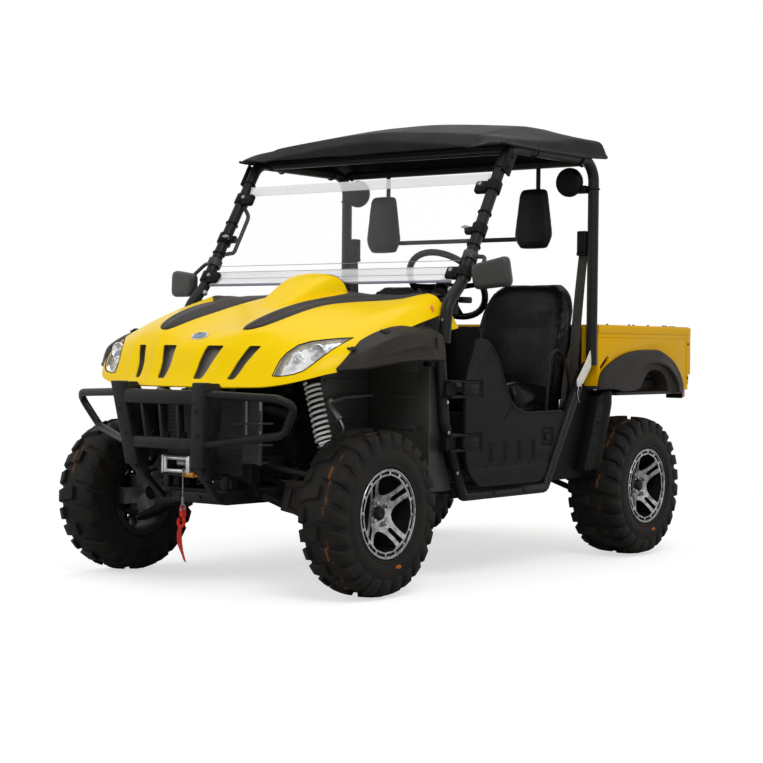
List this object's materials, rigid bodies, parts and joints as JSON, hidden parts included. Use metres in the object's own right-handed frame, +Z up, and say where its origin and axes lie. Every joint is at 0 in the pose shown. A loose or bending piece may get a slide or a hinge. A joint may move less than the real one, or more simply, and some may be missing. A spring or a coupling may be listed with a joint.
{
  "type": "side by side utility vehicle",
  "caption": "Two-seat side by side utility vehicle with caged cabin, roof, windshield, half doors, tipping cargo bed with tailgate, mud tyres and a front brush bumper with winch.",
  "frame": {"origin": "on the ground, midway between nose and tail and on the middle line", "axes": "+Z up, the nose points to -Y, the driver's left side is +X"},
  "size_m": [1.8382, 2.9, 1.922],
  "materials": {
    "frame_steel": "satin",
    "dark_plastic": "matte",
    "flare_plastic": "matte",
    "yellow_paint": "gloss",
    "bed_paint": "satin",
    "tyre": "matte",
    "alloy": "machined",
    "steel": "satin",
    "cast": "rough",
    "spring_white": "gloss",
    "clear_sheet": "clear",
    "lamp_lens": "clear",
    "red_lens": "gloss",
    "vinyl": "gloss",
    "webbing": "woven",
    "red_hook": "gloss"
  },
  "bodies": {
    "chassis": {"chassis_frame": "frame_steel", "skid_plate": "dark_plastic", "engine_block": "cast", "gearcases": "cast", "muffler": "steel", "hitch": "frame_steel", "suspension_arms": "frame_steel", "shocks": "spring_white", "half_shafts": "cast", "rear_knuckles": "cast", "front_bumper": "frame_steel", "bumper_hoops": "frame_steel", "winch": "cast", "winch_cable": "steel", "winch_hook": "red_hook", "radiator": "dark_plastic", "hood": "yellow_paint", "cowl": "yellow_paint", "headlights": "lamp_lens", "front_flares": "flare_plastic", "front_side_panels": "dark_plastic", "floor_pan": "dark_plastic", "seat_base": "dark_plastic", "cab_back_panel": "dark_plastic", "seats": "vinyl", "dashboard": "dark_plastic", "steering_column": "dark_plastic", "grab_rails": "frame_steel", "cage_left": "frame_steel", "cage_right": "frame_steel", "cage_crossbars": "frame_steel", "door_hinges": "frame_steel", "headrest_frame": "frame_steel", "headrests": "dark_plastic", "speaker_pods": "dark_plastic", "seat_belts": "webbing", "roof": "dark_plastic", "windshield": "clear_sheet", "windshield_clamps": "dark_plastic", "mirrors": "dark_plastic", "rear_side_panels": "dark_plastic"},
    "left_door": {"left_door": "dark_plastic"},
    "right_door": {"right_door": "dark_plastic"},
    "steering_wheel": {"steering_wheel": "dark_plastic"},
    "left_knuckle": {"left_knuckle": "cast"},
    "right_knuckle": {"right_knuckle": "cast"},
    "steering_rack": {"tie_rods": "steel"},
    "cargo_bed": {"bed_box": "bed_paint", "bed_flares": "flare_plastic", "tail_lights": "red_lens"},
    "tailgate": {"tailgate": "bed_paint"},
    "front_left_wheel": {"front_left_tyre": "tyre", "front_left_rim": "alloy"},
    "front_right_wheel": {"front_right_tyre": "tyre", "front_right_rim": "alloy"},
    "rear_left_wheel": {"rear_left_tyre": "tyre", "rear_left_rim": "alloy"},
    "rear_right_wheel": {"rear_right_tyre": "tyre", "rear_right_rim": "alloy"}
  },
  "joints": [
    {"name": "left_steer", "type": "hinge", "parent": "chassis", "child": "left_knuckle", "pos_m": [0.555, -0.965, 0.315], "axis": [0, 0, 1], "range_deg": [-32, 32]},
    {"name": "right_steer", "type": "hinge", "parent": "chassis", "child": "right_knuckle", "pos_m": [-0.555, -0.965, 0.315], "axis": [0, 0, 1], "range_deg": [-33, 33]},
    {"name": "rack_slide", "type": "slide", "parent": "chassis", "child": "steering_rack", "axis": [1, 0, 0], "range_m": [-0.034, 0.034]},
    {"name": "wheel_turn", "type": "hinge", "parent": "chassis", "child": "steering_wheel", "pos_m": [0.37, -0.105, 1.195], "axis": [0, 0.7448, 0.6673], "range_deg": [-260, 260]},
    {"name": "front_left_spin", "type": "hinge", "parent": "left_knuckle", "child": "front_left_wheel", "pos_m": [0.632, -0.965, 0.315], "axis": [1, 0, 0], "continuous": true},
    {"name": "rear_left_spin", "type": "hinge", "parent": "chassis", "child": "rear_left_wheel", "pos_m": [0.622, 0.955, 0.315], "axis": [1, 0, 0], "continuous": true},
    {"name": "left_door_hinge", "type": "hinge", "parent": "chassis", "child": "left_door", "pos_m": [0.713, -0.468, 0.665], "axis": [0, 0, -1], "range_deg": [0, 70]},
    {"name": "front_right_spin", "type": "hinge", "parent": "right_knuckle", "child": "front_right_wheel", "pos_m": [-0.632, -0.965, 0.315], "axis": [1, 0, 0], "continuous": true},
    {"name": "rear_right_spin", "type": "hinge", "parent": "chassis", "child": "rear_right_wheel", "pos_m": [-0.622, 0.955, 0.315], "axis": [1, 0, 0], "continuous": true},
    {"name": "right_door_hinge", "type": "hinge", "parent": "chassis", "child": "right_door", "pos_m": [-0.713, -0.468, 0.665], "axis": [0, 0, 1], "range_deg": [0, 70]},
    {"name": "bed_tilt", "type": "hinge", "parent": "chassis", "child": "cargo_bed", "pos_m": [0, 1.29, 0.735], "axis": [-1, 0, 0], "range_deg": [0, 45]},
    {"name": "tailgate_drop", "type": "hinge", "parent": "cargo_bed", "child": "tailgate", "pos_m": [0, 1.426, 0.8], "axis": [-1, 0, 0], "range_deg": [0, 90]}
  ],
  "couplings": [
    {"joint": "right_steer", "follows": "left_steer", "ratio": 1},
    {"joint": "rack_slide", "follows": "left_steer", "m_per_rad": -0.06},
    {"joint": "wheel_turn", "follows": "left_steer", "ratio": 8}
  ]
}
